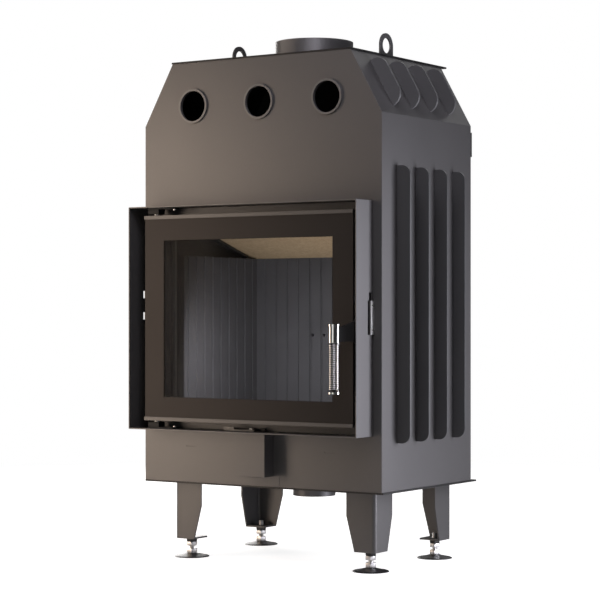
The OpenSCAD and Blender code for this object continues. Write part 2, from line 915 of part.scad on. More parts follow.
// Ring of the tube: centre, then the two directions across the tube
function tube_ring(c, u, v) = [
  for (k = [0 : tube_sides - 1])
    let (a = 360 * k / tube_sides) c + wire_d / 2 * (cos(a) * u + sin(a) * v)
];

// Frame of the helix at turn angle t: centre, outward, forward and the angle of its rise
rise_angle = atan(spring_lead / (2 * PI * spring_r));
function out_at(t) = [cos(t), sin(t), 0];
function along_at(t) = [-sin(t), cos(t), 0];
function helix_at(t) = spring_r * out_at(t) + [0, 0, spring_low + end_run + spring_lead * t / 360];
// Direction that leans from level to upright as b goes from 0 to 90
function lean(t, b) = cos(b) * along_at(t) + [0, 0, sin(b)];
function across(t, b) = -sin(b) * along_at(t) + [0, 0, cos(b)];

turn_end = 360 * spring_curls;
helix_ts = [for (k = [0 : curl_rings * spring_curls]) 360 * k / curl_rings];
bend_bs = [for (k = [1 : bend_rings])
  rise_angle + (90 - rise_angle) * k / bend_rings];
// Offset of the bend's centre line, forwards and upwards, at lean b
function bend_shift(t, b) = bend_r * (sin(b) - sin(rise_angle)) * along_at(t)
  + [0, 0, bend_r * (cos(rise_angle) - cos(b))];

spring_top_rings = [for (b = bend_bs)
  tube_ring(helix_at(turn_end) + bend_shift(turn_end, b), out_at(turn_end), across(turn_end, b))];
spring_top_end = helix_at(turn_end) + bend_shift(turn_end, 90);
spring_low_rings = [for (k = [bend_rings - 1 : -1 : 0])
  let (b = bend_bs[k], s = bend_shift(0, b))
    tube_ring(helix_at(0) - s, out_at(0), across(0, b))];
spring_low_end = helix_at(0) - bend_shift(0, 90);
spring_rings = concat(
  [tube_ring([spring_low_end[0], spring_low_end[1], spring_low], out_at(0), across(0, 90))],
  spring_low_rings,
  [for (t = helix_ts) tube_ring(helix_at(t), out_at(t), across(t, rise_angle))],
  spring_top_rings,
  [tube_ring([spring_top_end[0], spring_top_end[1], spring_high],
             out_at(turn_end), across(turn_end, 90))]
);

// Gap from each curl to the next, measured between points of the tube's own rings
spring_gaps = [for (k = [0 : curl_rings * (spring_curls - 1) - 1])
  let (i = k + bend_rings + 1)
    norm(spring_rings[i + curl_rings][0] - spring_rings[i][0]) - wire_d];
echo(least_spring_gap_mm = min(spring_gaps), curls = spring_curls);

// Faces of a tube from its rings, closed at both ends
function tube_faces(count) = concat(
  [[for (k = [0 : tube_sides - 1]) k]],
  [for (i = [0 : count - 2], k = [0 : tube_sides - 1])
    let (a = i * tube_sides + k, b = i * tube_sides + (k + 1) % tube_sides)
      [a, a + tube_sides, b + tube_sides]],
  [for (i = [0 : count - 2], k = [0 : tube_sides - 1])
    let (a = i * tube_sides + k, b = i * tube_sides + (k + 1) % tube_sides)
      [a, b + tube_sides, b]],
  [[for (k = [tube_sides - 1 : -1 : 0]) (count - 1) * tube_sides + k]]
);

// Spring round the core: one unbroken wire with straight ends on the cap and the sleeve
module grip_spring() {
  color(STEEL_BRIGHT) at_grip() polyhedron(
    points = [for (ring = spring_rings) each ring],
    faces = tube_faces(len(spring_rings)), convexity = 10);
}

// Outline of the firebox and of the plenum below it, drawn in by the sheet for its inside
module chamber_outline(inset, low) {
  polygon([
    [-shell_out + inset, low], [shell_out - inset, low], [shell_out - inset, shell_shoulder],
    [shell_top_w / 2, shell_top - inset], [-shell_top_w / 2, shell_top - inset],
    [-shell_out + inset, shell_shoulder]
  ]);
}

// Inner firebox: side walls, back, floor and sloping crown, open towards the front panel
module firebox_shell() {
  color(SHELL_STEEL) at_body() difference() {
    upright(sheet_t, shell_back + shell_t) chamber_outline(0, 0);
    difference() {
      upright(sheet_t - over, shell_back) chamber_outline(shell_t, -over);
      box([-shell_out, 0, shell_floor - shell_t], [shell_out, shell_back + over, shell_floor]);
    }
    translate([0, collar_y, shell_shoulder]) cylinder(d = flue_bore, h = shell_top);
    box([-channel_w / 2, shell_back - floor_slot, shell_floor - shell_t - over],
        [channel_w / 2, shell_back, shell_floor + over]);
  }
}

// Grooves down the face of a lining, along its width from margin to margin
module grooves(len, low, high) {
  count = floor((len - 2 * groove_margin) / groove_pitch);
  first = (len - count * groove_pitch) / 2;
  for (i = [0 : count]) translate([first + i * groove_pitch - groove_w / 2, -over, low - over])
    cube([groove_w, groove_d + over, high - low + 2 * over]);
}

module lining_side() {
  shown = lining_front + retainer_w;
  color(LINING_GREY) at_body() difference() {
    box([half_chamber, lining_front, hearth_z], [shell_in, chamber_d, lining_high]);
    translate([half_chamber, shown, 0]) mirror([1, 0, 0]) rotate([0, 0, 90])
      grooves(chamber_d - shown, hearth_z, lining_high);
  }
}

module lining_right() {
  lining_side();
}

module lining_left() {
  mirror([1, 0, 0]) lining_side();
}

module lining_back() {
  color(LINING_GREY) at_body() difference() {
    box([-shell_in, chamber_d, shell_floor], [shell_in, shell_back, lining_high]);
    translate([-half_chamber, chamber_d, 0]) grooves(chamber_w, hearth_z, lining_high);
    for (share = nozzle_places_share)
      translate([share * groove_pitch, chamber_d - over, nozzle_z]) rotate([-90, 0, 0])
        cylinder(d = nozzle_d, h = lining_t + 2 * over);
    box([-channel_w / 2, shell_back - channel_depth, shell_floor - over],
        [channel_w / 2, shell_back + over, nozzle_z + channel_rise]);
  }
}

// Upright angles that hold the front edges of the side linings
module lining_retainers() {
  color(SHELL_STEEL) at_body() both_sides() {
    box([half_chamber - retainer_t, sheet_t, hearth_z],
        [half_chamber, lining_front + retainer_w, lining_high]);
    box([half_chamber, sheet_t, hearth_z], [shell_in, sheet_t + retainer_t, lining_high]);
  }
}

module hearth_slabs() {
  slab_w = 2 * shell_in / slab_count;
  color(LINING_GREY) at_body() for (i = [0 : slab_count - 1])
    box([-shell_in + i * slab_w + slab_gap / 2, sheet_t, shell_floor],
        [-shell_in + (i + 1) * slab_w - slab_gap / 2, chamber_d, hearth_z]);
}

// Puts its child in the plane of the baffle's underside, with Y running up the slope forwards
module at_baffle() {
  translate([0, chamber_d, lining_high]) rotate([-baffle_slope, 0, 0]) children();
}

module baffle() {
  run = (chamber_d - smoke_gap) / cos(baffle_slope);
  color(BAFFLE_TAN) at_body() difference() {
    at_baffle() box([-shell_in + seat_gap, -run, 0],
                    [shell_in - seat_gap, lining_t - baffle_t * sin(baffle_slope), baffle_t]);
    box([-shell_in - over, chamber_d, shell_floor],
        [shell_in + over, shell_back + over, lining_high]);
  }
}

// Sloping bars on the firebox walls that carry the baffle's sides
module baffle_rails() {
  run = (chamber_d - smoke_gap) / cos(baffle_slope);
  color(SHELL_STEEL) at_body() both_sides() at_baffle()
    box([shell_in - rail_bar_w, -run, -rail_bar_t], [shell_in, -rail_bar_back, 0]);
}

module air_box() {
  low = air_box_low;
  left = air_box_x - air_box_w / 2;
  right = air_box_x + air_box_w / 2;
  color(PAINT_FRONT) at_body() difference() {
    box([left, -air_box_depth, low], [right, 0, surround_low]);
    box([left + box_t, -air_box_depth + box_t, low + box_t],
        [right - box_t, over, surround_low - box_t]);
    bolt_slot(surround_low - box_t - over, surround_low + over);
  }
}

// Bar that slides on the surround's lower sheet, with its upturned tab
module air_slider() {
  low = surround_in_low + seat_gap;
  color(PAINT_FRONT) at_body() difference() {
    union() {
      box([bar_left, bar_front, low], [bar_right, bar_back, low + bar_t]);
      box([bar_left, bar_front, low], [bar_left + tab_w, bar_front + tab_t, low + tab_h]);
    }
    translate([bolt_x, bolt_y, low - over]) cylinder(d = bolt_d, h = bar_t + 2 * over);
  }
}

// Bolt that takes the slider's motion down to the damper
module slider_bolt() {
  top = surround_in_low + seat_gap + bar_t;
  color(STEEL_BRIGHT) at_body() translate([bolt_x, bolt_y, 0]) {
    translate([0, 0, damper_arm_z]) cylinder(d = bolt_d - pivot_gap, h = top - damper_arm_z);
    translate([0, 0, top]) cylinder(d = bolt_head_d, h = bolt_head_h, $fn = hex_fn);
  }
}

// Bent strip under the bolt, with the plate that covers the air port
module air_damper() {
  back = -seat_gap - damper_t;
  color(STEEL_BRIGHT) at_body() {
    box([bolt_x - damper_arm_w / 2, bolt_y - damper_arm_w / 2, damper_arm_z - bar_t],
        [bolt_x + damper_arm_w / 2, back, damper_arm_z]);
    box([bolt_x - damper_w / 2, back, air_box_low + box_t + damper_gap],
        [bolt_x + damper_w / 2, -seat_gap, damper_arm_z]);
  }
}

// Angle on the surround's lower sheet that keeps the slider down
module slider_rail() {
  low = surround_in_low;
  high = low + seat_gap + bar_t + seat_gap;
  color(PAINT_DARK) at_body() {
    box([bar_left, bar_back + seat_gap, low],
        [bar_right + half_travel, bar_back + seat_gap + rail_foot, high]);
    box([bar_left, bar_back - lip_over, high],
        [bar_right + half_travel, bar_back + seat_gap + rail_foot, high + lip_t]);
  }
}

// Outline of one sheet of a leg: straight at the top, drawn in towards the foot
module leg_outline() {
  polygon([
    [0, -sheet_t], [leg_w, -sheet_t], [leg_w, -sheet_t - leg_straight],
    [leg_foot_w, leg_end], [0, leg_end]
  ]);
}

// Square with its corner at the origin rounded
module bent_corner(side, r) {
  difference() {
    square(side);
    difference() {
      translate([-over, -over]) square(r + over);
      translate([r, r]) circle(r, $fn = fine_fn);
    }
  }
}

// A leg in its own corner: bend at the origin, sheets running along +X and +Y
module leg() {
  difference() {
    union() {
      intersection() {
        translate([0, 0, leg_end]) linear_extrude(height = leg_h) difference() {
          bent_corner(leg_w, leg_bend);
          translate([leg_t, leg_t]) bent_corner(leg_w, leg_bend - leg_t);
        }
        translate([0, leg_w, 0]) rotate([90, 0, 0]) linear_extrude(height = leg_w) leg_outline();
        rotate([90, 0, 90]) linear_extrude(height = leg_w) leg_outline();
      }
      translate([0, 0, leg_end]) linear_extrude(height = foot_plate_t)
        bent_corner(leg_foot_w, leg_bend);
    }
    translate([foot_in, foot_in, leg_end - over])
      cylinder(r = stud_d / 2 + pivot_gap, h = foot_plate_t + 2 * over);
  }
}

// Puts a leg's child in its corner: side -1 left or 1 right, end -1 front or 1 rear
module at_corner(side, end) {
  at_body() translate([side * leg_x, end < 0 ? leg_front : leg_back, 0])
    mirror([max(side, 0), 0, 0]) mirror([0, max(end, 0), 0]) children();
}

module leg_front_left() {
  color(PAINT_FRONT) at_corner(-1, -1) leg();
}

module leg_front_right() {
  color(PAINT_FRONT) at_corner(1, -1) leg();
}

module leg_rear_left() {
  color(PAINT_DARK) at_corner(-1, 1) leg();
}

module leg_rear_right() {
  color(PAINT_SIDE) at_corner(1, 1) leg();
}

// A nut under the foot plate, from low to high
module foot_nut(low, high) {
  translate([foot_in, foot_in, 0]) difference() {
    translate([0, 0, low]) cylinder(d = nut_flats / cos(180 / hex_fn), h = high - low, $fn = hex_fn);
    translate([0, 0, low - over])
      cylinder(r = stud_d / 2 + pivot_gap, h = high - low + 2 * over);
  }
}

module at_corners() {
  for (side = [-1, 1], end = [-1, 1]) at_corner(side, end) children();
}

module weld_nuts() {
  color(PAINT_DARK) at_corners() foot_nut(leg_end - weld_nut_h, leg_end);
}

module jam_nuts() {
  top = leg_end - weld_nut_h;
  color(STEEL_BRIGHT) at_corners() foot_nut(top - jam_nut_h, top);
}

// Threaded stud with its hexagon and neck
module stud() {
  translate([foot_in, foot_in, 0]) {
    translate([0, 0, foot_hex_top])
      cylinder(d = stud_d, h = leg_end + foot_plate_t + stud_above - foot_hex_top);
    translate([0, 0, foot_hex_top - foot_hex_h])
      cylinder(d = nut_flats / cos(180 / hex_fn), h = foot_hex_h, $fn = hex_fn);
    translate([0, 0, disc_top]) cylinder(d = stud_d, h = foot_neck_h);
  }
}

// Foot disc: flat below, domed to a hub above
module disc() {
  rim = disc_d / 2;
  translate([foot_in, foot_in, disc_top - disc_h]) rotate_extrude() polygon([
    [0, 0], [rim, 0], [rim, disc_rim * half_share], [rim - disc_rim, disc_rim],
    [rim * disc_slope_share, disc_h * disc_slope_share], [rim * disc_hub_share, disc_h],
    [0, disc_h]
  ]);
}

module stud_front_left() {
  color(STEEL_BRIGHT) at_corner(-1, -1) stud();
}

module stud_front_right() {
  color(STEEL_BRIGHT) at_corner(1, -1) stud();
}

module stud_rear_left() {
  color(STEEL_BRIGHT) at_corner(-1, 1) stud();
}

module stud_rear_right() {
  color(STEEL_BRIGHT) at_corner(1, 1) stud();
}

module disc_front_left() {
  color(PAINT_DARK) at_corner(-1, -1) disc();
}

module disc_front_right() {
  color(PAINT_DARK) at_corner(1, -1) disc();
}

module disc_rear_left() {
  color(PAINT_DARK) at_corner(-1, 1) disc();
}

module disc_rear_right() {
  color(PAINT_DARK) at_corner(1, 1) disc();
}

base_plate();
top_plate();
front_panel();
side_panel_left();
side_panel_right();
hood_side_left();
hood_side_right();
rear_panel();
side_fins();
hood_fins();
flue_collar();
air_stubs();
lifting_eyes();
intake_collar();
rear_brackets();
door_surround();
air_box();
door_seat();
firebox_shell();
lining_left();
lining_right();
lining_back();
lining_retainers();
hearth_slabs();
baffle();
baffle_rails();
leg_front_left();
leg_front_right();
leg_rear_left();
leg_rear_right();
weld_nuts();
jam_nuts();
striker_plate();
fixing_screws();
hinge_blocks();
hinge_pins();
slider_rail();
door_frame();
gasket_channel();
door_gasket();
glass_tape();
door_glass();
trim_top();
trim_bottom();
latch_pin();
handle_arm();
grip_sleeve();
grip_core();
grip_spring();
air_slider();
slider_bolt();
air_damper();
disc_front_left();
disc_front_right();
disc_rear_left();
disc_rear_right();
stud_front_left();
stud_front_right();
stud_rear_left();
stud_rear_right();
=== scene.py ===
"""Looks of the fireplace insert: its paints, glass, linings, chrome and rope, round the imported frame."""

import math

import bpy
from bpy.props import FloatProperty, FloatVectorProperty, PointerProperty
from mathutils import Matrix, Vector


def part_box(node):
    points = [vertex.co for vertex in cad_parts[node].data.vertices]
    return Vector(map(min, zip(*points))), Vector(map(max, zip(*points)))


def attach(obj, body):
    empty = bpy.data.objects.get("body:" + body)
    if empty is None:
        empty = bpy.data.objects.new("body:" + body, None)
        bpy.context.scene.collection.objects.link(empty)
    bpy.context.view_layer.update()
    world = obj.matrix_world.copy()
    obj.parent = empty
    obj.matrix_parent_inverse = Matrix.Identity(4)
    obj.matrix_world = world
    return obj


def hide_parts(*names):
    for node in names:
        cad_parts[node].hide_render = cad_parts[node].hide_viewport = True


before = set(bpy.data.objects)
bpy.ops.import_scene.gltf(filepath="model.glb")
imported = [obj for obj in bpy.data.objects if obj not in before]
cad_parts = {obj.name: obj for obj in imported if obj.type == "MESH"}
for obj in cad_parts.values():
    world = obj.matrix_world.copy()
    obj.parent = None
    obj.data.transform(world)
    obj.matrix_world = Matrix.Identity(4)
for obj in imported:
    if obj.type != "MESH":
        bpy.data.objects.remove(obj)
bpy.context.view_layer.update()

bl_info = {
    "name": "Fireplace Insert Looks",
    "version": (1, 0, 0),
    "blender": (4, 5, 0),
    "location": "View3D > Sidebar > Insert",
    "description": "Finishes and fine pieces of a fireplace insert, with its studio",
    "category": "Object",
}

MM = 0.001
WHITE = (1.0, 1.0, 1.0, 1.0)

# Width of the camera's sensor, in millimetres
SENSOR = 36

# Levelling feet: nuts and hexagons over their flats, the stud's radius, the heights of its neck and
# hexagon, and the number of sides that stand for a circle
FLATS = 23 * MM
STUD_R = 6 * MM
NECK_H = 1 * MM
HEX_H = 11 * MM
ROUND_SIDES = 48

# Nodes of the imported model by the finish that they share
CASING = (
    "front_panel", "side_panel_left", "side_panel_right", "hood_side_left", "hood_side_right",
    "rear_panel", "air_box",
    "leg_front_left", "leg_front_right", "leg_rear_left", "leg_rear_right",
)
COLLARS = ("flue_collar", "air_stubs", "lifting_eyes", "intake_collar")
DARK_FITTINGS = ("base_plate", "top_plate", "rear_brackets", "slider_rail")
LININGS = ("lining_left", "lining_right", "lining_back", "hearth_slabs")
FEET = ("front_left", "front_right", "rear_left", "rear_right")


class Field:
    """A value that varies over a surface: its socket, with sums and products as Math nodes."""

    def __init__(self, finish, socket):
        self.finish = finish
        self.socket = socket

    def _sum(self, operation, first, second):
        return self.finish.add("ShaderNodeMath", {"operation": operation}, {0: first, 1: second})

    def __add__(self, other):
        return self._sum("ADD", self, other)

    def __radd__(self, other):
        return self._sum("ADD", other, self)

    def __sub__(self, other):
        return self._sum("SUBTRACT", self, other)

    def __rsub__(self, other):
        return self._sum("SUBTRACT", other, self)

    def __mul__(self, other):
        return self._sum("MULTIPLY", self, other)

    def __rmul__(self, other):
        return self._sum("MULTIPLY", other, self)


class Finish:
    """A node material in the making, from its coordinates to its shader."""

    def __init__(self, name):
        self.material = bpy.data.materials.new(name)
        self.material.use_nodes = True
        self.tree = self.material.node_tree
        self.tree.nodes.clear()

    def add(self, kind, settings=None, sockets=None, out=0):
        """Adds a node: first its settings, then the values or links of its sockets."""
        node = self.tree.nodes.new(kind)
        for key, value in (settings or {}).items():
            setattr(node, key, value)
        for key, value in (sockets or {}).items():
            if isinstance(value, Field):
                self.tree.links.new(value.socket, node.inputs[key])
            else:
                node.inputs[key].default_value = value
        return Field(self, node.outputs[out] if node.outputs else None)

    def place(self):
        """Where a point is in the insert's own frame, in metres."""
        return self.add("ShaderNodeTexCoord", out="Object")

    def axes(self, vector):
        """The three parts of a vector."""
        return [self.add("ShaderNodeSeparateXYZ", sockets={0: vector}, out=i) for i in range(3)]

    def noise(self, scale, detail=2.0, vector=None):
        """Soft random field between 0 and 1."""
        return self.add("ShaderNodeTexNoise", sockets={
            "Vector": vector or self.place(), "Scale": scale, "Detail": detail})

    def cells(self, scale, out="Distance"):
        """Field of small cells, as in a crystalline or flaked finish."""
        return self.add("ShaderNodeTexVoronoi", sockets={
            "Vector": self.place(), "Scale": scale}, out=out)

    def stretched(self, factors):
        """The place with each axis scaled, for streaks and brushed marks."""
        return self.add("ShaderNodeVectorMath", {"operation": "MULTIPLY"},
                        {0: self.place(), 1: factors})

    def ramp(self, value, low, high):
        """0 below low, 1 above high and smooth between."""
        return self.add("ShaderNodeMapRange", {"interpolation_type": "SMOOTHSTEP"}, {
            "Value": value, "From Min": low, "From Max": high})

    def blend(self, factor, first, second):
        """The first colour where factor is 0, the second where it is 1."""
        return self.add("ShaderNodeMix", {"data_type": "RGBA"}, {
            "Factor": factor, 6: first, 7: second}, out=2)

    def bump(self, height, strength, distance):
        """Normal of a surface with that fine relief."""
        return self.add("ShaderNodeBump", sockets={
            "Height": height, "Strength": strength, "Distance": distance})

    def surface(self, **sockets):
        """The principled shader with its sockets, named with underscores for spaces."""
        named = {key.replace("_", " "): value for key, value in sockets.items()}
        return self.add("ShaderNodeBsdfPrincipled", sockets=named)

    def done(self, shader):
        """Ends the material with this shader."""
        self.add("ShaderNodeOutputMaterial", sockets={"Surface": shader})
        return self.material


def opaque(colour):
    """A colour property as the four numbers of a colour socket."""
    return (colour[0], colour[1], colour[2], 1.0)


def scaled(colour, share):
    """A colour made lighter or darker."""
    return (colour[0] * share, colour[1] * share, colour[2] * share, 1.0)


class InsertPaints(bpy.types.PropertyGroup):
    """Colours of the insert's finishes."""

    casing: FloatVectorProperty(
        name="Casing paint", description="Satin metallic paint of the casing",
        subtype="COLOR", size=3, min=0, max=1, default=(0.13, 0.127, 0.127))
    fins: FloatVectorProperty(
        name="Fin paint", description="Paint of the cooling fins",
        subtype="COLOR", size=3, min=0, max=1, default=(0.12, 0.12, 0.122))
    # Lighter than the casing: partly the collars' own tone, partly painted light on the flue collar.
    collars: FloatVectorProperty(
        name="Collar paint", description="Paint of the collars, stubs and eyes",
        subtype="COLOR", size=3, min=0, max=1, default=(0.165, 0.163, 0.165))
    black: FloatVectorProperty(
        name="Black paint", description="Heat-proof black of the door frame",
        subtype="COLOR", size=3, min=0, max=1, default=(0.03, 0.029, 0.028))
    print: FloatVectorProperty(
        name="Glass print", description="Printed border of the glass",
        subtype="COLOR", size=3, min=0, max=1, default=(0.034, 0.031, 0.03))
    lining: FloatVectorProperty(
        name="Lining", description="Grooved boards of the firebox",
        subtype="COLOR", size=3, min=0, max=1, default=(0.075, 0.075, 0.082))
    baffle: FloatVectorProperty(
        name="Baffle", description="Mineral board over the fire",
        subtype="COLOR", size=3, min=0, max=1, default=(0.52, 0.385, 0.23))
    chrome: FloatVectorProperty(
        name="Chrome", description="Plated steel of the grip and the feet",
        subtype="COLOR", size=3, min=0, max=1, default=(0.86, 0.85, 0.84))
    rope: FloatVectorProperty(
        name="Rope", description="Glass-fibre rope and tape of the door",
        subtype="COLOR", size=3, min=0, max=1, default=(0.35, 0.34, 0.31))


class InsertSizes(bpy.types.PropertyGroup):
    """Sizes of the fine pieces that are made here."""

    edge: FloatProperty(
        name="Sheet edge", description="Rounding of the sheets' edges",
        unit="LENGTH", default=0.6 * MM)
    board_edge: FloatProperty(
        name="Board edge", description="Rounding of the firebox boards' edges",
        unit="LENGTH", default=1.2 * MM)
    thread_pitch: FloatProperty(
        name="Thread pitch", description="Pitch of the levelling studs' thread",
        unit="LENGTH", default=1.75 * MM)
    thread_depth: FloatProperty(
        name="Thread depth", description="Depth of the levelling studs' thread",
        unit="LENGTH", default=0.95 * MM)
    wire: FloatProperty(
        name="Spring wire", description="Diameter of the grip's wire",
        unit="LENGTH", default=2.2 * MM)
    wire_pitch: FloatProperty(
        name="Spring pitch", description="Pitch of the grip's coil",
        unit="LENGTH", default=3.8 * MM)
    braid_stitch: FloatProperty(
        name="Braid stitch", description="Length of a stitch of the rope gasket",
        unit="LENGTH", default=5.0 * MM)
    window_left: FloatProperty(
        name="Window left", description="Left edge of the clear window",
        unit="LENGTH", default=-231 * MM)
    window_right: FloatProperty(
        name="Window right", description="Right edge of the clear window",
        unit="LENGTH", default=231 * MM)
    window_low: FloatProperty(
        name="Window low", description="Height of the window's lower edge over the floor",
        unit="LENGTH", default=382 * MM)
    window_high: FloatProperty(
        name="Window high", description="Height of the window's upper edge over the floor",
        unit="LENGTH", default=743 * MM)


class InsertStudio(bpy.types.PropertyGroup):
    """Camera and lights."""

    camera_place: FloatVectorProperty(
        name="Camera place", description="Where the camera stands",
        subtype="TRANSLATION", size=3, default=(2.5074, -3.7758, 0.5765))
    camera_turn: FloatProperty(
        name="Camera turn", description="Turn of the camera to the left",
        subtype="ANGLE", default=math.radians(33.52))
    lens: FloatProperty(
        name="Lens", description="Focal length on a 36 mm sensor", default=116.56)
    horizon_drop: FloatProperty(
        name="Horizon", description="Share of the frame by which the horizon lies low",
        default=0.0212)
    world_light: FloatProperty(
        name="Room light", description="Strength of the light from all round", default=0.03)
    white: FloatProperty(
        name="Backdrop", description="Brightness of the backdrop to the camera", default=1.0)


def paints():
    """The colours as they are set in this scene."""
    return bpy.context.scene.insert_paints


def sizes():
    """The fine pieces' sizes as they are set in this scene."""
    return bpy.context.scene.insert_sizes


def studio():
    """The camera's and the backdrop's settings in this scene."""
    return bpy.context.scene.insert_studio


def satin_paint(name, colour, roughness=0.46):
    """Sprayed metallic paint: fine flakes, a faint orange peel and slow changes of gloss."""
    f = Finish(name)
    flakes = f.cells(1400.0)
    cloud = f.noise(5.0, 3.0)
    shade = f.ramp(flakes, 0.1, 0.9) * 0.5 + cloud * 0.5
    base = f.blend(shade, scaled(colour, 0.93), scaled(colour, 1.07))
    gloss = cloud * 0.08 + f.noise(90.0) * 0.04 + (roughness - 0.06)
    peel = f.noise(900.0, 1.0)
    return f.done(f.surface(
        Base_Color=base, Roughness=gloss, Metallic=0.6,
        Normal=f.bump(peel, 0.03, 0.1 * MM)))


def black_paint(name, colour):
    """Matt heat-proof paint with a dusty grain."""
    f = Finish(name)
    grain = f.noise(700.0, 3.0)
    cloud = f.noise(9.0, 2.0)
    base = f.blend(cloud * 0.6 + grain * 0.4, scaled(colour, 0.75), scaled(colour, 1.35))
    return f.done(f.surface(
        Base_Color=base, Roughness=grain * 0.15 + 0.5, Metallic=0.1,
        Normal=f.bump(grain, 0.15, 0.2 * MM)))


def lining_board():
    """Pressed mineral board, dark grey, with a gritty face and pale chips."""
    f = Finish("lining_board")
    colour = paints().lining
    grit = f.noise(420.0, 4.0)
    chips = f.ramp(f.cells(230.0), 0.0, 0.22)
    cloud = f.noise(14.0, 3.0)
    dust = f.blend(cloud, scaled(colour, 0.8), scaled(colour, 1.15))
    base = f.blend(chips, scaled(colour, 1.5), dust)
    height = grit * 0.7 + chips * 0.3
    return f.done(f.surface(
        Base_Color=base, Roughness=0.9 - cloud * 0.1, Normal=f.bump(height, 0.5, 0.5 * MM)))


def baffle_board():
    """Tan mineral board with golden flakes pressed flat."""
    f = Finish("baffle_board")
    colour = paints().baffle
    tone = f.axes(f.cells(160.0, "Color"))[0]
    grit = f.noise(300.0, 4.0)
    base = f.blend(tone * 0.7 + grit * 0.3, scaled(colour, 0.86), scaled(colour, 1.1))
    return f.done(f.surface(
        Base_Color=base, Roughness=0.95 - tone * 0.25,
        Normal=f.bump(tone * 0.4 + grit * 0.6, 0.3, 0.3 * MM)))


def bright_chrome(name, colour, roughness=0.13):
    """Plated steel with faint polishing marks."""
    f = Finish(name)
    marks = f.noise(60.0, 2.0, f.stretched((1.0, 1.0, 12.0)))
    return f.done(f.surface(
        Base_Color=f.blend(marks, scaled(colour, 0.92), opaque(colour)),
        Roughness=marks * 0.08 + (roughness - 0.04), Metallic=1.0,
        Normal=f.bump(marks, 0.03, 0.1 * MM)))


def rope_fibre():
    """Twisted glass-fibre yarn: fine strands, dull white-grey."""
    f = Finish("rope_fibre")
    colour = paints().rope
    strands = f.noise(900.0, 2.0, f.stretched((0.35, 1.0, 0.35)))
    cloud = f.noise(40.0, 2.0)
    base = f.blend(strands * 0.6 + cloud * 0.4, scaled(colour, 0.6), scaled(colour, 1.3))
    return f.done(f.surface(
        Base_Color=base, Roughness=0.95, Normal=f.bump(strands, 0.5, 0.3 * MM)))


def printed_glass():
    """Ceramic glass: clear in its window, black gloss on its printed border."""
    f = Finish("printed_glass")
    s = sizes()
    x, _, z = f.axes(f.place())
    soft = 0.4 * MM
    inside = (
        f.ramp(x, s.window_left - soft, s.window_left + soft)
        * (1 - f.ramp(x, s.window_right - soft, s.window_right + soft))
        * f.ramp(z, s.window_low - soft, s.window_low + soft)
        * (1 - f.ramp(z, s.window_high - soft, s.window_high + soft)))
    smear = f.noise(7.0, 3.0)
    border = opaque(paints().print)
    tint = (0.01, 0.01, 0.01, 1.0)
    return f.done(f.surface(
        Base_Color=f.blend(inside, border, tint), Metallic=0.6 - inside * 0.6,
        Roughness=0.44 - inside * 0.34 + smear * 0.04, Alpha=1 - inside * 0.85,
        Specular_IOR_Level=0.1))


def soft_black(name, colour, roughness=0.45):
    """Blackened steel and moulded black plastic, faintly mottled."""
    f = Finish(name)
    grain = f.noise(520.0, 2.0)
    cloud = f.noise(30.0, 2.0)
    return f.done(f.surface(
        Base_Color=f.blend(cloud, scaled(colour, 0.8), scaled(colour, 1.4)),
        Roughness=grain * 0.12 + (roughness - 0.06), Normal=f.bump(grain, 0.12, 0.15 * MM)))


def shading_group():
    """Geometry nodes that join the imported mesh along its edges, so that it shades and bevels."""
    group = bpy.data.node_groups.get("joined_edges")
    if group:
        return group
    group = bpy.data.node_groups.new("joined_edges", "GeometryNodeTree")
    group.interface.new_socket("Geometry", in_out="INPUT", socket_type="NodeSocketGeometry")
    group.interface.new_socket("Geometry", in_out="OUTPUT", socket_type="NodeSocketGeometry")
    nodes, links = group.nodes, group.links
    start = nodes.new("NodeGroupInput")
    merge = nodes.new("GeometryNodeMergeByDistance")
    merge.inputs["Distance"].default_value = 0.005 * MM
    strip = nodes.new("GeometryNodeRemoveAttribute")
    strip.inputs["Name"].default_value = "custom_normal"
    angle = nodes.new("GeometryNodeInputMeshEdgeAngle")
    limit = nodes.new("ShaderNodeMath")
    limit.operation = "GREATER_THAN"
    limit.inputs[1].default_value = math.radians(28)
    faces = nodes.new("GeometryNodeSetShadeSmooth")
    faces.inputs["Shade Smooth"].default_value = True
    edges = nodes.new("GeometryNodeSetShadeSmooth")
    edges.domain = "EDGE"
    edges.inputs["Shade Smooth"].default_value = False
    end = nodes.new("NodeGroupOutput")
    links.new(start.outputs[0], merge.inputs["Geometry"])
    links.new(merge.outputs[0], strip.inputs["Geometry"])
    links.new(strip.outputs[0], faces.inputs["Geometry"])
    links.new(faces.outputs[0], edges.inputs["Geometry"])
    links.new(angle.outputs["Unsigned Angle"], limit.inputs[0])
    links.new(limit.outputs[0], edges.inputs["Selection"])
    links.new(edges.outputs[0], end.inputs[0])
    return group


def dress(names, material, edge=None):
    """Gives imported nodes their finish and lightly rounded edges."""
    for name in names:
        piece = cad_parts[name]
        piece.data.materials.clear()
        piece.data.materials.append(material)
        joined = piece.modifiers.new("joined_edges", "NODES")
        joined.node_group = shading_group()
        if edge:
            round_edges(piece, edge)


def round_edges(piece, width):
    """Small rounding of a piece's sharp edges."""
    bevel = piece.modifiers.new("rounded_edges", "BEVEL")
    bevel.width = width
    bevel.segments = 2
    bevel.limit_method = "ANGLE"
    bevel.angle_limit = math.radians(40)
    bevel.harden_normals = True


def make_piece(name, points, faces, body, material, replaces=(), sharp=35):
    """A new mesh piece that rides on a body."""
    mesh = bpy.data.meshes.new(name)
    mesh.from_pydata([tuple(p) for p in points], [], faces)
    mesh.validate()
    mesh.shade_smooth()
    mesh.set_sharp_from_angle(angle=math.radians(sharp))
    piece = bpy.data.objects.new(name, mesh)
    bpy.context.scene.collection.objects.link(piece)
    mesh.materials.append(material)
    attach(piece, body)
    if replaces:
        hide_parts(*replaces)
    return piece


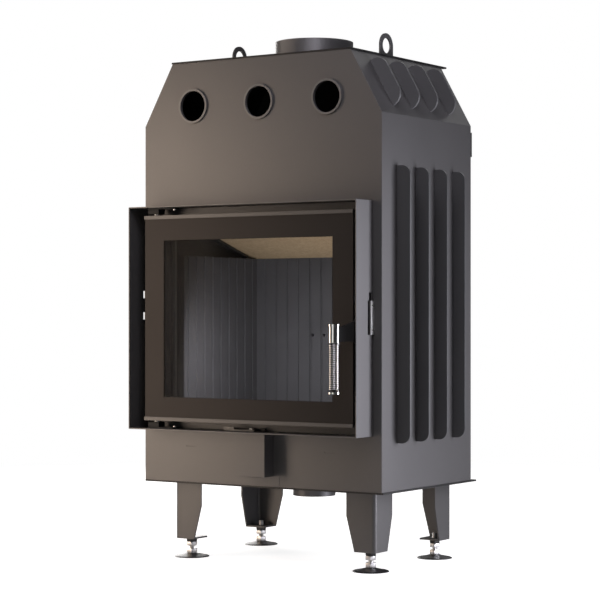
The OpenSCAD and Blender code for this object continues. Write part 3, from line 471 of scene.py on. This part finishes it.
def skin(rings, closed=False):
    """Points and faces of a tube through equal rings; an open tube is capped at both ends."""
    points = [p for ring in rings for p in ring]
    sides = len(rings[0])
    faces = []
    spans = len(rings) if closed else len(rings) - 1
    for i in range(spans):
        here, there = i * sides, (i + 1) % len(rings) * sides
        for k in range(sides):
            n = (k + 1) % sides
            faces.append((here + k, here + n, there + n, there + k))
    if not closed:
        faces.append(tuple(reversed(range(sides))))
        last = (len(rings) - 1) * sides
        faces.append(tuple(last + k for k in range(sides)))
    return points, faces


def join(parts):
    """Points and faces of several solids as one."""
    points, faces = [], []
    for part_points, part_faces in parts:
        start = len(points)
        points += part_points
        faces += [tuple(start + i for i in face) for face in part_faces]
    return points, faces


def middle(node):
    """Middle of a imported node's box, with its lowest and highest corners."""
    low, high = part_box(node)
    return (low + high) / 2, low, high


class INSERT_OT_casing(bpy.types.Operator):
    """Paint the casing's sheets, plates and legs"""

    bl_idname = "insert.casing"
    bl_label = "Casing"

    def execute(self, context):
        paint = satin_paint("casing_paint", paints().casing)
        dress(CASING, paint, sizes().edge)
        # The collar paint is partly painted light, brightening the flue collar.
        dress(COLLARS, satin_paint("collar_paint", paints().collars), sizes().edge / 2)
        return {"FINISHED"}


class INSERT_OT_fins(bpy.types.Operator):
    """Paint the cooling fins"""

    bl_idname = "insert.fins"
    bl_label = "Cooling fins"

    def execute(self, context):
        dress(("side_fins",), satin_paint("fin_paint", paints().fins), sizes().edge)
        # Painted light: the hood fins are the fin paint lightened by 1.22, for the light they get from
        # above.
        hood = satin_paint("hood_fin_painted_light", scaled(paints().fins, 1.22), 0.56)
        dress(("hood_fins",), hood, sizes().edge / 2)
        return {"FINISHED"}


class INSERT_OT_surround(bpy.types.Operator):
    """Paint the door surround with its hinge blocks and latch plate"""

    bl_idname = "insert.surround"
    bl_label = "Door surround"

    def execute(self, context):
        # Painted light: the surround is the casing paint lightened by 1.12, for the brighter light on its
        # face.
        light = satin_paint("surround_paint", scaled(paints().casing, 1.12))
        dress(("door_surround",), light, sizes().edge)
        # Painted shade: the door seat is the casing paint darkened to 0.6, for the shade under the
        # surround's top.
        seat = satin_paint("seat_painted_shade", scaled(paints().casing, 0.6))
        dress(("door_seat",), seat, sizes().edge)
        dark = satin_paint("fitting_paint", scaled(paints().casing, 0.3))
        dress(DARK_FITTINGS, dark, sizes().edge)
        # The hinge blocks are near black, partly their own black and partly painted shade from the
        # surround's flanges.
        black = soft_black("hinge_black_painted_shade", (0.012, 0.012, 0.013), 0.7)
        dress(("hinge_blocks",), black, sizes().edge / 2)
        steel = bright_chrome("zinc_plate", (0.75, 0.75, 0.74), 0.5)
        dress(("striker_plate", "hinge_pins", "latch_pin"), steel, sizes().edge / 2)
        dress(("fixing_screws",), bright_chrome("screw_steel", paints().chrome), sizes().edge / 2)
        return {"FINISHED"}


class INSERT_OT_firebox(bpy.types.Operator):
    """Finish the firebox, its linings and its baffle"""

    bl_idname = "insert.firebox"
    bl_label = "Firebox"

    def execute(self, context):
        edge = sizes().board_edge
        dress(LININGS, lining_board(), edge)
        dress(("baffle",), baffle_board(), edge)
        black = black_paint("firebox_black", paints().black)
        dress(("firebox_shell", "baffle_rails"), black)
        dress(("lining_retainers",), black_paint("retainer_black", scaled(paints().black, 0.35)))
        return {"FINISHED"}


class INSERT_OT_door(bpy.types.Operator):
    """Finish the door's frame and trims"""

    bl_idname = "insert.door"
    bl_label = "Door"

    def execute(self, context):
        dress(("door_frame", "gasket_channel"), black_paint("door_black", paints().black))
        trim = satin_paint("trim_paint", scaled(paints().casing, 0.85))
        dress(("trim_top", "trim_bottom"), trim, sizes().edge / 2)
        return {"FINISHED"}


class INSERT_OT_pane(bpy.types.Operator):
    """Finish the printed ceramic glass"""

    bl_idname = "insert.pane"
    bl_label = "Glass"

    def execute(self, context):
        dress(("door_glass",), printed_glass(), sizes().edge)
        return {"FINISHED"}


class INSERT_OT_gasket(bpy.types.Operator):
    """Lay the braided rope gasket and the glass tape in the door"""

    bl_idname = "insert.gasket"
    bl_label = "Gasket and tape"

    def execute(self, context):
        fibre = rope_fibre()
        centre, low, high = middle("door_gasket")
        across = 11.4 * MM
        corner = across * 0.6
        step = 2.0 * MM
        sides = 20
        squareness = 2.6
        stitch_share = 0.05
        half_x = (high.x - low.x) / 2 - across / 2
        half_z = (high.z - low.z) / 2 - across / 2
        depth = high.y - low.y
        route = rounded_rectangle(half_x, half_z, corner, step)
        rings = []
        run = 0.0
        for i, (x, z, nx, nz) in enumerate(route):
            if i:
                run += math.dist(route[i - 1][:2], (x, z))
            ring = []
            for k in range(sides):
                a = math.tau * k / sides
                stitch = math.sin(math.tau * run / sizes().braid_stitch + 3 * a)
                cross = math.sin(math.tau * run / sizes().braid_stitch - 3 * a)
                swell = 1 - stitch_share * (1 - max(stitch, cross))
                out = squarish(a, squareness)
                u = out[0] * across / 2 * swell
                v = out[1] * depth / 2 * swell
                ring.append((centre.x + x + nx * u, centre.y + v, centre.z + z + nz * u))
            rings.append(ring)
        points, faces = skin(rings, closed=True)
        make_piece("rope_gasket", points, faces, "door", fibre, ("door_gasket",), 80)
        tape_ring(fibre)
        return {"FINISHED"}


def squarish(a, power):
    """Point of a rounded square at angle a."""
    c, s = math.cos(a), math.sin(a)
    return (math.copysign(abs(c) ** (2 / power), c), math.copysign(abs(s) ** (2 / power), s))


def rounded_rectangle(half_x, half_z, corner, step):
    """Places along a rectangle with round corners, each with its outward direction."""
    places = []
    corner_steps = 6
    corners = ((1, 1, 0), (-1, 1, 90), (-1, -1, 180), (1, -1, 270))
    for sx, sz, start in corners:
        cx, cz = sx * (half_x - corner), sz * (half_z - corner)
        for i in range(corner_steps + 1):
            a = math.radians(start + 90 * i / corner_steps)
            places.append((cx + corner * math.cos(a), cz + corner * math.sin(a),
                           math.cos(a), math.sin(a)))
    route = []
    for i, here in enumerate(places):
        there = places[(i + 1) % len(places)]
        count = max(1, round(math.dist(here[:2], there[:2]) / step))
        for k in range(count):
            t = k / count
            route.append(tuple(here[j] + (there[j] - here[j]) * t for j in range(4)))
    return route


def tape_ring(fibre):
    """Thin woven tape between the glass and the frame."""
    centre, low, high = middle("glass_tape")
    band = 36 * MM
    inset = 0.6 * MM
    half_x, half_z = (high.x - low.x) / 2, (high.z - low.z) / 2
    thick = (high.y - low.y) / 2
    rings = []
    for x, z in ((half_x, half_z), (-half_x, half_z), (-half_x, -half_z), (half_x, -half_z)):
        sx, sz = math.copysign(1, x), math.copysign(1, z)
        ring = []
        for reach, y in ((inset, -thick), (0, 0), (inset, thick), (band - inset, thick),
                         (band, 0), (band - inset, -thick)):
            ring.append((centre.x + x - sx * reach, centre.y + y, centre.z + z - sz * reach))
        rings.append(ring)
    points, faces = skin(rings, closed=True)
    make_piece("woven_tape", points, faces, "door", fibre, ("glass_tape",))


class INSERT_OT_handle(bpy.types.Operator):
    """Finish the latch arm and wind the grip's spring"""

    bl_idname = "insert.handle"
    bl_label = "Handle"

    def execute(self, context):
        chrome = bright_chrome("chrome", paints().chrome)
        dress(("handle_arm",), satin_paint("arm_paint", scaled(paints().casing, 0.3)), sizes().edge / 2)
        dress(("grip_sleeve",), chrome, sizes().edge / 2)
        dress(("grip_core",), core_steel(), sizes().edge / 2)
        wind_spring(bright_chrome("wire_chrome", paints().chrome, 0.07))
        return {"FINISHED"}


def core_steel():
    """Chrome on the end caps, with black painted shade on the core where the coil covers it."""
    f = Finish("core_steel")
    _, low, high = middle("grip_spring")
    z = f.axes(f.place())[2]
    fade = 0.5 * MM
    coil_shade_mask = f.ramp(z, low.z, low.z + fade) * (1 - f.ramp(z, high.z - fade, high.z))
    # Painted shade: the core is black under the coil, so the gaps between the turns look dark.
    black = (0.01, 0.01, 0.01, 1.0)
    return f.done(f.surface(
        Base_Color=f.blend(coil_shade_mask, opaque(paints().chrome), black),
        Metallic=1 - coil_shade_mask, Roughness=coil_shade_mask * 0.5 + 0.12))


def wind_spring(chrome):
    """Round-wire coil with straight ends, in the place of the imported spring."""
    centre, low, high = middle("grip_spring")
    wire = sizes().wire
    bend = wire * 0.8
    end = bend + wire
    radius = (high.y - low.y) / 2 - wire / 2
    turns = math.floor((high.z - low.z - 2 * end) / sizes().wire_pitch)
    lead = (high.z - low.z - 2 * end) / turns
    steps, sides, bend_steps = 36, 12, 6
    rise = math.atan(lead / (math.tau * radius))

    def ring(point, out, across):
        """Ring of the wire's surface round a point."""
        return [tuple(point + wire / 2 * (math.cos(a) * out + math.sin(a) * across))
                for a in (math.tau * k / sides for k in range(sides))]

    def helix(t):
        """Point of the coil at angle t, with its outward and forward directions."""
        out = Vector((math.cos(t), math.sin(t), 0))
        along = Vector((-math.sin(t), math.cos(t), 0))
        point = Vector((centre.x, centre.y, low.z + end + lead * t / math.tau)) + radius * out
        return point, out, along

    def leaning(along, b):
        """Direction across the wire where it has bent up by b."""
        return math.sin(b) * -along + Vector((0, 0, math.cos(b)))

    def shift(along, b):
        """Way from the coil's end to where the wire has bent up by b."""
        return (bend * (math.sin(b) - math.sin(rise)) * along
                + Vector((0, 0, bend * (math.cos(rise) - math.cos(b)))))

    leans = [rise + (math.pi / 2 - rise) * k / bend_steps for k in range(1, bend_steps + 1)]
    rings = []
    point, out, along = helix(0)
    foot = point - shift(along, leans[-1])
    rings.append(ring(Vector((foot.x, foot.y, low.z)), out, leaning(along, leans[-1])))
    for b in reversed(leans):
        rings.append(ring(point - shift(along, b), out, leaning(along, b)))
    for k in range(steps * turns + 1):
        point, out, along = helix(math.tau * k / steps)
        rings.append(ring(point, out, leaning(along, rise)))
    for b in leans:
        rings.append(ring(point + shift(along, b), out, leaning(along, b)))
    top = point + shift(along, leans[-1])
    rings.append(ring(Vector((top.x, top.y, high.z)), out, leaning(along, leans[-1])))
    points, faces = skin(rings)
    make_piece("grip_coil", points, faces, "handle", chrome, ("grip_spring",), 60)


class INSERT_OT_air_control(bpy.types.Operator):
    """Finish the air slider, its bolt and its damper"""

    bl_idname = "insert.air_control"
    bl_label = "Air control"

    def execute(self, context):
        paint = satin_paint("slider_paint", paints().casing, 0.3)
        dress(("air_slider",), paint, sizes().edge / 2)
        dress(("slider_bolt", "air_damper"), bright_chrome("bolt_chrome", paints().chrome),
              sizes().edge / 2)
        return {"FINISHED"}


class INSERT_OT_feet(bpy.types.Operator):
    """Cut the feet's threads and nuts and finish their discs"""

    bl_idname = "insert.feet"
    bl_label = "Levelling feet"

    def execute(self, context):
        chrome = bright_chrome("foot_chrome", paints().chrome, 0.36)
        black = soft_black("foot_black", (0.016, 0.016, 0.017))
        steel = soft_black("nut_black", (0.02, 0.019, 0.018), 0.4)
        for foot in FEET:
            dress(("disc_" + foot,), black, sizes().edge)
            threaded_stud(foot, chrome)
        for node, name, finish, slot in (
                ("jam_nuts", "lock_nuts", chrome, "chrome"),
                ("weld_nuts", "welded_nuts", steel, "blackened_steel")):
            _, low, high = middle(node)
            parts = []
            for foot in FEET:
                centre, _, _ = middle("disc_" + foot)
                parts.append(nut(centre.x, centre.y, low.z, high.z))
            points, faces = join(parts)
            make_piece(name, points, faces, "casing", finish, (node,), 25)
        return {"FINISHED"}


def hexagon(a, flats):
    """Distance from the middle of a hexagon to its edge at angle a; a corner lies at 0."""
    sector = (a + math.pi / 6) % (math.pi / 3) - math.pi / 6
    return flats / 2 / math.cos(math.pi / 6 - abs(sector))


def hex_rings(x, y, low, high):
    """Rings of a hexagon from low to high, its corners turned down at both ends."""
    round_r = FLATS / 2 * 0.98
    turn = 1.5 * MM
    halfway, halfway_share = turn * 0.4, 0.45
    rings = []
    for z, share in ((low, 0.0), (low + halfway, halfway_share), (low + turn, 1.0),
                     (high - turn, 1.0), (high - halfway, halfway_share), (high, 0.0)):
        ring = []
        for k in range(ROUND_SIDES):
            a = math.tau * k / ROUND_SIDES
            r = hexagon(a, FLATS)
            r = round_r + (r - round_r) * share if r > round_r else r
            ring.append((x + r * math.cos(a), y + r * math.sin(a), z))
        rings.append(ring)
    return rings


def circle_ring(x, y, z, r):
    """Level ring of points round a place."""
    return [(x + r * math.cos(a), y + r * math.sin(a), z)
            for a in (math.tau * k / ROUND_SIDES for k in range(ROUND_SIDES))]


def nut(x, y, low, high):
    """A hexagon nut with turned corners and a bore for its stud."""
    bore = STUD_R + 0.1 * MM
    mouth = bore + 0.7 * MM
    sink = 0.6 * MM
    rings = [circle_ring(x, y, low + sink, bore), circle_ring(x, y, low, mouth)]
    rings += hex_rings(x, y, low, high)
    rings += [circle_ring(x, y, high, mouth), circle_ring(x, y, high - sink, bore)]
    return skin(rings, closed=True)


def threaded_stud(foot, chrome):
    """A stud with its neck, hexagon and rolled thread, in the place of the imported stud."""
    node = "stud_" + foot
    _, low, high = middle(node)
    centre, _, _ = middle("disc_" + foot)
    x, y = centre.x, centre.y
    pitch, depth = sizes().thread_pitch, sizes().thread_depth
    steps = 8
    flank = 1.6
    hex_low = low.z + NECK_H
    hex_high = hex_low + HEX_H
    rings = [circle_ring(x, y, low.z, STUD_R), circle_ring(x, y, hex_low, STUD_R)]
    rings += hex_rings(x, y, hex_low, hex_high)
    rings.append(circle_ring(x, y, hex_high, STUD_R - depth))
    count = math.ceil((high.z - hex_high) / pitch * steps)
    for i in range(count + 1):
        z = hex_high + (high.z - hex_high) * i / count
        fade = min(1.0, (high.z - z) / pitch, (z - hex_high) / pitch)
        ring = []
        for k in range(ROUND_SIDES):
            wave = (z / pitch - k / ROUND_SIDES) % 1.0
            crest = min(1.0, flank * (1 - abs(2 * wave - 1)))
            r = STUD_R - depth + depth * crest * fade
            a = math.tau * k / ROUND_SIDES
            ring.append((x + r * math.cos(a), y + r * math.sin(a), z))
        rings.append(ring)
    points, faces = skin(rings)
    make_piece("thread_" + foot, points, faces, "foot_" + foot, chrome, (node,), 40)


class INSERT_OT_studio(bpy.types.Operator):
    """Set up the floor, the backdrop, the lights and the camera"""

    bl_idname = "insert.studio"
    bl_label = "Studio"

    def execute(self, context):
        scene = context.scene
        scene.view_settings.view_transform = "Standard"
        make_floor()
        make_world(scene)
        make_lights()
        camera = bpy.data.cameras.new("camera")
        camera.lens = studio().lens
        camera.sensor_width = SENSOR
        camera.shift_y = studio().horizon_drop
        holder = bpy.data.objects.new("camera", camera)
        holder.location = studio().camera_place
        holder.rotation_euler = (math.pi / 2, 0, studio().camera_turn)
        scene.collection.objects.link(holder)
        scene.camera = holder
        return {"FINISHED"}


def make_floor():
    """Pale floor that keeps the insert's soft shadow and fades into the white backdrop."""
    f = Finish("pale_floor")
    reach, fade_start, fade_end = 30.0, 1.0, 3.0
    camera = f.add("ShaderNodeLightPath", out="Is Camera Ray")
    through = Field(f, camera.socket.node.outputs["Is Transmission Ray"])
    lit = f.add("ShaderNodeBsdfDiffuse", sockets={"Color": (0.75, 0.75, 0.75, 1.0)})
    glow = f.add("ShaderNodeEmission", sockets={"Color": WHITE, "Strength": 0.8})
    both = f.add("ShaderNodeAddShader", sockets={0: lit, 1: glow})
    backdrop = f.add("ShaderNodeEmission", sockets={"Color": WHITE, "Strength": studio().white})
    x, y, _ = f.axes(f.place())
    far = f.ramp(x * x + y * y, fade_start ** 2, fade_end ** 2)
    shown = f.add("ShaderNodeMixShader", sockets={0: far, 1: both, 2: backdrop})
    seen = f.add("ShaderNodeMath", {"operation": "MAXIMUM"}, {0: camera, 1: through})
    material = f.done(f.add("ShaderNodeMixShader", sockets={0: seen, 1: lit, 2: shown}))
    mesh = bpy.data.meshes.new("floor")
    mesh.from_pydata([(-reach, -reach, 0), (reach, -reach, 0), (reach, reach, 0),
                      (-reach, reach, 0)], [], [(0, 1, 2, 3)])
    mesh.materials.append(material)
    floor = bpy.data.objects.new("floor", mesh)
    bpy.context.scene.collection.objects.link(floor)


def make_world(scene):
    """White to the camera and through glass, a faint light to everything else."""
    world = bpy.data.worlds.new("room")
    world.use_nodes = True
    tree = world.node_tree
    tree.nodes.clear()
    path = tree.nodes.new("ShaderNodeLightPath")
    white = tree.nodes.new("ShaderNodeBackground")
    white.inputs["Color"].default_value = WHITE
    white.inputs["Strength"].default_value = studio().white
    faint = tree.nodes.new("ShaderNodeBackground")
    faint.inputs["Color"].default_value = WHITE
    faint.inputs["Strength"].default_value = studio().world_light
    either = tree.nodes.new("ShaderNodeMath")
    either.operation = "MAXIMUM"
    mix = tree.nodes.new("ShaderNodeMixShader")
    end = tree.nodes.new("ShaderNodeOutputWorld")
    tree.links.new(path.outputs["Is Camera Ray"], either.inputs[0])
    tree.links.new(path.outputs["Is Transmission Ray"], either.inputs[1])
    tree.links.new(either.outputs[0], mix.inputs[0])
    tree.links.new(faint.outputs[0], mix.inputs[1])
    tree.links.new(white.outputs[0], mix.inputs[2])
    tree.links.new(mix.outputs[0], end.inputs[0])
    scene.world = world


# Each softbox: its name, place, what it faces, width, height, power and colour
SOFTBOXES = (
    ("left_softbox", (-0.88, -0.95, 0.62), (0.0, -0.16, 0.62), 0.4, 1.3, 8.2, (1.0, 0.81, 0.65)),
    ("right_softbox", (1.11, 0.265, 0.47), (0.33, -0.12, 0.47), 0.44, 0.98, 11.6, (0.91, 0.905, 1.0)),
    ("front_fill", (0.9, -4.2, 0.6), (0.0, 0.0, 0.6), 2.0, 1.0, 5.5, (1.0, 1.0, 0.95)),
    ("high_fill", (0.7, -0.9, 1.75), (0.3, 0.0, 1.05), 0.7, 0.7, 8.7, (0.94, 0.9, 1.0)),
    ("crown_softbox", (-1.2, -0.3, 1.6), (0.0, 0.05, 1.2), 0.5, 0.5, 2.4, (1.0, 0.86, 0.74)),
    ("top_softbox", (-0.5, 3.0, 3.0), (0.2, 0.0, 1.1), 2.6, 2.2, 26.0, (1.0, 1.0, 1.0)),
    ("rear_softbox", (-2.2, 1.8, 0.9), (-0.1, 0.1, 0.6), 1.2, 1.6, 42.0, (1.0, 0.98, 0.96)),
    ("firebox_light", (0.0, -0.145, 0.47), (0.0, 1.0, 0.34), 0.4, 0.2, 1.3, (1.0, 0.98, 1.0)),
)


def make_lights():
    """Softboxes that light the insert but aren't seen by the camera."""
    for name, place, goal, width, height, power, colour in SOFTBOXES:
        light = bpy.data.lights.new(name, "AREA")
        light.shape = "RECTANGLE"
        light.size = width
        light.size_y = height
        light.energy = power
        light.color = colour
        holder = bpy.data.objects.new(name, light)
        holder.location = place
        towards = Vector(goal) - Vector(place)
        holder.rotation_euler = towards.to_track_quat("-Z", "Y").to_euler()
        holder.visible_camera = False
        bpy.context.scene.collection.objects.link(holder)


STEPS = (
    INSERT_OT_studio, INSERT_OT_casing, INSERT_OT_fins, INSERT_OT_surround, INSERT_OT_firebox,
    INSERT_OT_door, INSERT_OT_pane, INSERT_OT_gasket, INSERT_OT_handle, INSERT_OT_air_control,
    INSERT_OT_feet,
)


class INSERT_PT_looks(bpy.types.Panel):
    """Lists the insert's finishes and pieces"""

    bl_label = "Fireplace insert"
    bl_idname = "INSERT_PT_looks"
    bl_space_type = "VIEW_3D"
    bl_region_type = "UI"
    bl_category = "Insert"

    def draw(self, context):
        for step in STEPS:
            self.layout.operator(step.bl_idname)
        for group in (paints(), sizes(), studio()):
            for name in group.__annotations__:
                self.layout.prop(group, name)


CLASSES = (InsertPaints, InsertSizes, InsertStudio, *STEPS, INSERT_PT_looks)


def register():
    """Adds the insert's settings and steps to Blender."""
    for item in CLASSES:
        bpy.utils.register_class(item)
    bpy.types.Scene.insert_paints = PointerProperty(type=InsertPaints)
    bpy.types.Scene.insert_sizes = PointerProperty(type=InsertSizes)
    bpy.types.Scene.insert_studio = PointerProperty(type=InsertStudio)


def unregister():
    """Takes them out again."""
    del bpy.types.Scene.insert_studio
    del bpy.types.Scene.insert_sizes
    del bpy.types.Scene.insert_paints
    for item in reversed(CLASSES):
        bpy.utils.unregister_class(item)


def main():
    """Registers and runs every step."""
    register()
    for step in STEPS:
        path = step.bl_idname.split(".")
        getattr(getattr(bpy.ops, path[0]), path[1])()


if __name__ == "__main__":
    main()
